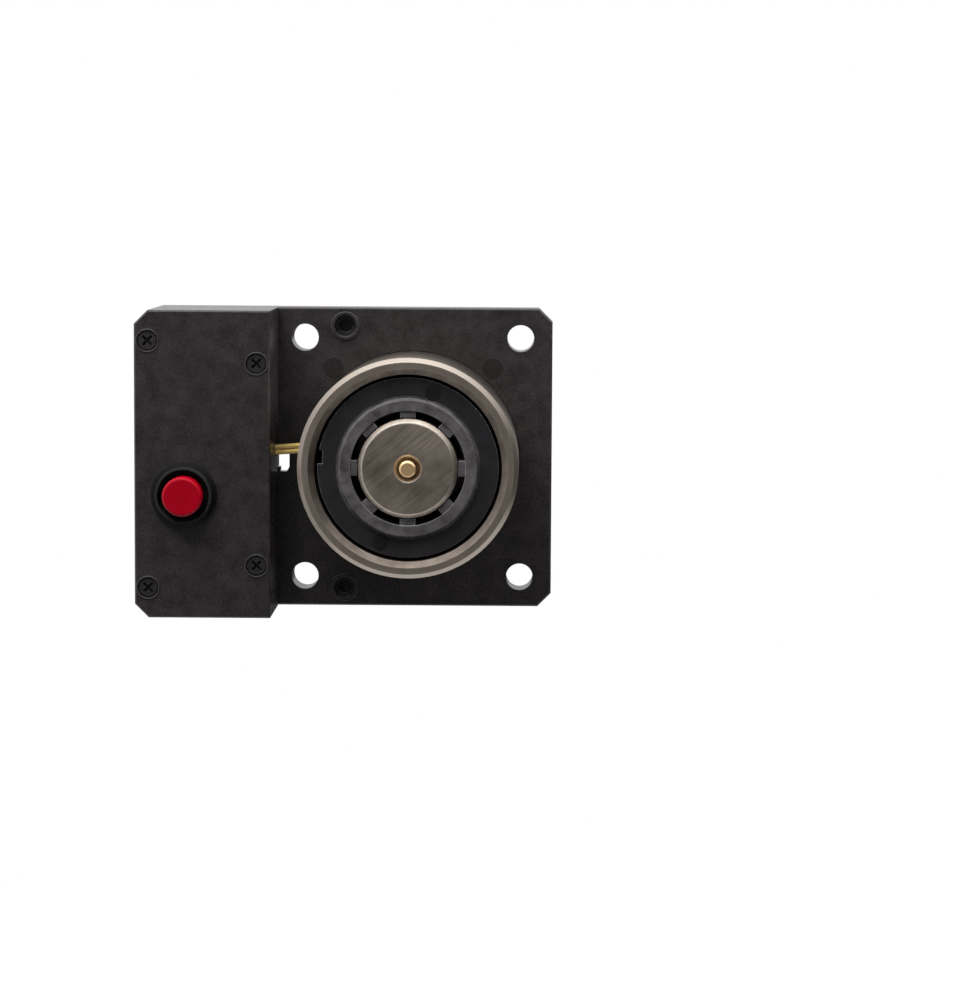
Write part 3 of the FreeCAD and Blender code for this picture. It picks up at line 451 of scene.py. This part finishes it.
def make_materials():
    """One material for each slot of the record, and two for the ejector marks."""
    return {
        "moulded_black": moulded("moulded_black", (0.006, 0.0051, 0.0051),
                                 (0.032, 0.0273, 0.0281), mottle=230.0, rough=(0.25, 0.36),
                                 gloss=0.4),
        "screw_black": moulded("screw_black", (0.010, 0.009, 0.009), (0.022, 0.020, 0.020),
                               rough=(0.3, 0.42), depth=0.02, edge=0.12),
        "plated_steel": tone_chamfers(turned_metal(
            "plated_steel", (0.38, 0.325, 0.265), (0.56, 0.495, 0.42), (0.30, 0.42), worn=0.1)),
        "pole_steel": ground_metal("pole_steel", (0.25, 0.213, 0.174), (0.66, 0.575, 0.48),
                                   (0.30, 0.42), turn=40.0, edge=0.7),
        "zinc_steel": turned_metal("zinc_steel", (0.45, 0.45, 0.47), (0.62, 0.62, 0.64),
                                   (0.3, 0.45), edge=0.1),
        "bobbin_black": pale_collar(moulded(
            "bobbin_black", (0.008, 0.0072, 0.008), (0.020, 0.0185, 0.0205), mottle=140.0,
            rough=(0.28, 0.4), depth=0.02, edge=0.3, edge_highlight=0.2)),
        "copper": turned_metal("copper", (0.45, 0.2, 0.1), (0.62, 0.3, 0.17), (0.25, 0.4)),
        "coil_tape": moulded("coil_tape", (0.015, 0.015, 0.018), (0.03, 0.03, 0.035),
                             rough=(0.25, 0.35), depth=0.02),
        "brass": turned_metal("brass", (0.70, 0.46, 0.23), (0.93, 0.66, 0.37), (0.26, 0.38),
                              rings=5000.0, edge=0.15, metal=0.88),
        "spring_steel": turned_metal("spring_steel", (0.4, 0.4, 0.41), (0.55, 0.55, 0.57),
                                     (0.25, 0.4), edge=0.05),
        "lead_yellow": moulded("lead_yellow", (0.74, 0.50, 0.13), (0.98, 0.73, 0.27),
                               mottle=400.0, rough=(0.3, 0.42), depth=0.01, edge=0.05, gloss=0.5),
        "bezel_black": paint_lip_highlight(moulded(
            "bezel_black", (0.003, 0.003, 0.003), (0.005, 0.0048, 0.0048), rough=(0.24, 0.34),
            depth=0.004, edge=0.2, gloss=0.08, edge_highlight=0.0)),
        "cap_red": moulded("cap_red", (0.20, 0.0, 0.005), (0.26, 0.0, 0.008),
                           mottle=160.0, rough=(0.3, 0.42), depth=0.01, edge=0.35, gloss=0.22),
        "tinned_brass": turned_metal("tinned_brass", (0.5, 0.48, 0.44), (0.7, 0.68, 0.63),
                                     (0.25, 0.4), edge=0.05),
        "board_green": moulded("board_green", (0.01, 0.10, 0.03), (0.02, 0.15, 0.05),
                               rough=(0.25, 0.35), depth=0.01, edge=0.05, gloss=0.5),
        "block_green": moulded("block_green", (0.02, 0.22, 0.08), (0.04, 0.30, 0.12),
                               depth=0.02, edge=0.15, gloss=0.4),
        "diode_black": moulded("diode_black", (0.02, 0.02, 0.02), (0.05, 0.05, 0.05),
                               depth=0.02, edge=0.1, gloss=0.4),
        "base_mark": moulded("base_mark", (0.010, 0.0085, 0.0085), (0.019, 0.016, 0.0165),
                             rough=(0.22, 0.3), depth=0.01, edge=0.1, edge_highlight=0.03),
        "bobbin_mark": moulded("bobbin_mark", (0.0055, 0.005, 0.0055), (0.009, 0.0085, 0.009),
                               rough=(0.22, 0.3), depth=0.01, edge=0.1, edge_highlight=0.01),
    }


def dress_nodes(materials):
    """Give each CAD node the material of its slot."""
    for entry in frame["record"]["subparts"]:
        piece = nodes[entry["node"]]
        slots = piece.data.materials
        if not slots:
            slots.append(None)
        for number in range(len(slots)):
            slots[number] = materials[entry["material_slot"]]


def put_in_scene(name, data):
    """Object with its data, in the scene."""
    item = bpy.data.objects.new(name, data)
    bpy.context.scene.collection.objects.link(item)
    return item


def shape_node(tree, kind, inputs):
    """Geometry node with its inputs; returns its outputs."""
    item = tree.nodes.new(f"GeometryNode{kind}")
    for name, value in inputs.items():
        put_value(tree, item.inputs[name], value)
    return item.outputs


def make_ring(tree, radius, thick):
    """Round ring of wire, whose thickness is given as the wire's radius."""
    circle = shape_node(tree, "CurvePrimitiveCircle", {"Resolution": ROUND_SIDES,
                                                       "Radius": radius})
    wire = shape_node(tree, "CurvePrimitiveCircle", {"Resolution": WIRE_SIDES, "Radius": thick})
    return shape_node(tree, "CurveToMesh", {"Curve": circle["Curve"],
                                            "Profile Curve": wire["Curve"]})["Mesh"]


def make_disc(tree, radius, thick):
    """Round disc."""
    return shape_node(tree, "MeshCylinder", {"Vertices": ROUND_SIDES, "Radius": radius,
                                             "Depth": thick})["Mesh"]


def make_mark_tree(name, make_shape):
    """Geometry Nodes tree that sets a round shape, facing the room, at each point."""
    tree = bpy.data.node_groups.new(name, "GeometryNodeTree")
    for socket, kind in (("Places", "Geometry"), ("Radius", "Float"), ("Thick", "Float"),
                         ("Finish", "Material")):
        tree.interface.new_socket(socket, in_out="INPUT", socket_type=f"NodeSocket{kind}")
    tree.interface.new_socket("Shapes", in_out="OUTPUT", socket_type="NodeSocketGeometry")
    given = tree.nodes.new("NodeGroupInput").outputs
    end = tree.nodes.new("NodeGroupOutput").inputs
    scattered = shape_node(tree, "InstanceOnPoints", {
        "Points": given["Places"], "Rotation": (math.radians(90), 0, 0),
        "Instance": make_shape(tree, given["Radius"], given["Thick"])})
    real = shape_node(tree, "RealizeInstances", {"Geometry": scattered["Instances"]})
    finished = shape_node(tree, "SetMaterial", {"Geometry": real["Geometry"],
                                                "Material": given["Finish"]})
    put_value(tree, end["Shapes"], finished["Geometry"])
    return tree


def set_at_places(name, tree, places, values, smooth):
    """What a tree sets at places on a surface, as one plain mesh."""
    mesh = bpy.data.meshes.new(name)
    mesh.from_pydata(places, [], [])
    seed = put_in_scene(f"{name}_places", mesh)
    modifier = seed.modifiers.new("marks", "NODES")
    modifier.node_group = tree
    for item in tree.interface.items_tree:
        if item.item_type == "SOCKET" and item.in_out == "INPUT" and item.name in values:
            modifier[item.identifier] = values[item.name]
    shapes = bpy.context.evaluated_depsgraph_get()
    made = bpy.data.meshes.new_from_object(seed.evaluated_get(shapes))
    made.name = name
    for polygon in made.polygons:
        polygon.use_smooth = smooth
    bpy.data.objects.remove(seed)
    return put_in_scene(name, made)


def make_mould_marks(materials):
    """Rims round the cover screws, and the marks that ejector pins leave."""
    rings = make_mark_tree("rings_at_points", make_ring)
    discs = make_mark_tree("discs_at_points", make_disc)
    cover_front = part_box("terminal_cover")[0][1]
    rims = []
    for number in range(1, 5):
        low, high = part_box(f"cover_screw_{number}")
        rims.append(((low[0] + high[0]) / 2, cover_front, (low[2] + high[2]) / 2))
    base_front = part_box("base_plate")[1][1] - BASE_DEPTH * MM
    base_marks = [(x * MM, base_front, z * MM) for x, z in BASE_MARK_PLACES]
    bobbin_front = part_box("magnet_core")[0][1] + BOBBIN_BELOW_POLE * MM
    turns = [math.radians(angle) for angle in BOBBIN_MARK_ANGLES]
    bobbin_marks = [(BOBBIN_MARK_CIRCLE * math.cos(turn) * MM, bobbin_front,
                     BOBBIN_MARK_CIRCLE * math.sin(turn) * MM) for turn in turns]
    plans = (
        ("cover_screw_rims", rings, rims, RIM_RADIUS, RIM_WIRE, "moulded_black",
         "moulded_black"),
        ("base_ejector_marks", discs, base_marks, BASE_MARK_RADIUS, MARK_HEIGHT, "base_mark",
         "moulded_black"),
        ("bobbin_ejector_marks", discs, bobbin_marks, BOBBIN_MARK_RADIUS, MARK_HEIGHT,
         "bobbin_mark", "bobbin_black"))
    for name, tree, places, radius, thick, finish, slot in plans:
        values = {"Radius": radius * MM, "Thick": thick * MM, "Finish": materials[finish]}
        piece = set_at_places(name, tree, places, values, smooth=tree is rings)
        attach(piece, "housing")


def make_camera():
    """Camera at the photograph's angle and framing."""
    data = bpy.data.cameras.new("photo_camera")
    data.sensor_width = SENSOR
    data.lens = FOCAL_PIXELS / PICTURE_HEIGHT * SENSOR
    data.shift_x, data.shift_y = CAMERA_SHIFT
    data.clip_start = 0.01
    camera = put_in_scene("photo_camera", data)
    camera.location = Vector(CAMERA_PLACE) * MM
    level = Matrix.Rotation(math.radians(90 + CAMERA_PITCH), 4, "X")
    roll = Matrix.Rotation(math.radians(CAMERA_ROLL), 4, "Z")
    camera.rotation_euler = (level @ roll).to_euler()
    bpy.context.scene.camera = camera


def make_area_light(name, place, size, power):
    """Rectangular lamp aimed at the origin, which isn't seen in mirror reflections."""
    data = bpy.data.lights.new(name, "AREA")
    data.shape = "RECTANGLE"
    data.size, data.size_y = size
    data.energy = power
    lamp = put_in_scene(name, data)
    lamp.location = place
    lamp.visible_glossy = False
    lamp.rotation_euler = (-Vector(place)).to_track_quat("-Z", "Y").to_euler()


def ray_masks(tree):
    """Masks of the camera's rays, and of mirrored rays and those let through."""
    rays = add_node(tree, "LightPath").outputs
    mirrored = math_node(tree, "MAXIMUM", rays["Is Glossy Ray"], rays["Is Transmission Ray"])
    return rays["Is Camera Ray"], mirrored


def grey(tree, level):
    """Grey colour of a brightness that varies."""
    return add_node(tree, "CombineColor", {0: level, 1: level, 2: level}).outputs[0]


def make_world():
    """White to the camera; a dim room in front, a pale backdrop behind, light above."""
    world = bpy.data.worlds.new("studio")
    bpy.context.scene.world = world
    world.use_nodes = True
    tree = world.node_tree
    direction = add_node(tree, "TexCoord").outputs["Generated"]
    x, y, z = add_node(tree, "SeparateXYZ", {0: direction}).outputs

    walls = math_node(tree, "ADD", map_range(tree, z, *WALL_LEVEL),
                      map_range(tree, y, *WALL_SIDE))
    walls = math_node(tree, "MULTIPLY", walls, map_range(tree, x, *WALL_RIGHT))
    room = math_node(tree, "ADD", walls, map_range(tree, z, *ROOM_ABOVE))
    room = math_node(tree, "ADD", room, map_range(tree, z, *ROOM_BELOW))
    room = grey(tree, room)
    horizon = math_node(tree, "MAXIMUM", map_range(tree, z, *BACKDROP_HORIZON),
                        map_range(tree, x, *BACKDROP_LEFT))

    leant = math_node(tree, "SUBTRACT", y, math_node(tree, "MULTIPLY", x, BACKDROP_LEAN))
    behind = map_range(tree, leant, *BACKDROP_START)
    to_mirrored = mix_colours(tree, behind, room, grey(tree, horizon))
    to_diffuse = mix_colours(tree, behind, mix_colours(tree, ROOM_DIM, room, BLACK),
                             (BACKDROP_GREY,) * 3)
    camera, mirrored = ray_masks(tree)
    seen = mix_colours(tree, mirrored, to_diffuse, to_mirrored)
    put_value(tree, tree.nodes["Background"].inputs["Color"],
              mix_colours(tree, camera, seen, WHITE))


def make_floor():
    """Pale floor that takes the shadow, glows faintly and fades to white round its rim."""
    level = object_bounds()[0][2] - FLOOR_DROP
    turns = [math.tau * number / FLOOR_SIDES for number in range(FLOOR_SIDES)]
    mesh = bpy.data.meshes.new("floor")
    mesh.from_pydata([(FLOOR_MIDDLE[0] + FLOOR_RADIUS * math.cos(turn),
                       FLOOR_MIDDLE[1] + FLOOR_RADIUS * math.sin(turn), level)
                      for turn in turns], [], [range(FLOOR_SIDES)])
    floor = put_in_scene("floor", mesh)
    material, tree, shader, place = start_material(
        "floor", Base_Color=(FLOOR_GREY,) * 3, Roughness=0.9, Emission_Color=WHITE)
    away = add_node(tree, "VectorMath", {0: place, 1: (*FLOOR_MIDDLE, level)},
                    operation="DISTANCE").outputs["Value"]
    fade = map_range(tree, away, FLOOR_FADE[0] * FLOOR_RADIUS, FLOOR_FADE[1] * FLOOR_RADIUS)
    glow = math_node(tree, "MAXIMUM", fade, FLOOR_GLOW)
    depth = add_node(tree, "SeparateXYZ", {0: place}).outputs[1]
    camera, mirrored = ray_masks(tree)
    mirrored = math_node(tree, "MULTIPLY", mirrored, map_range(tree, depth, *FLOOR_MIRRORED))
    seen = math_node(tree, "MAXIMUM", camera, mirrored)
    put_value(tree, shader.inputs["Emission Strength"],
              math_node(tree, "MULTIPLY", seen, glow))
    mesh.materials.append(material)


def make_studio():
    """Camera, world, floor and lamps."""
    make_camera()
    make_world()
    make_floor()
    for name, (place, size, power) in LAMPS.items():
        make_area_light(name, place, size, power)
    bpy.context.scene.view_settings.view_transform = "Standard"


finishes = make_materials()
dress_nodes(finishes)
make_mould_marks(finishes)
make_studio()
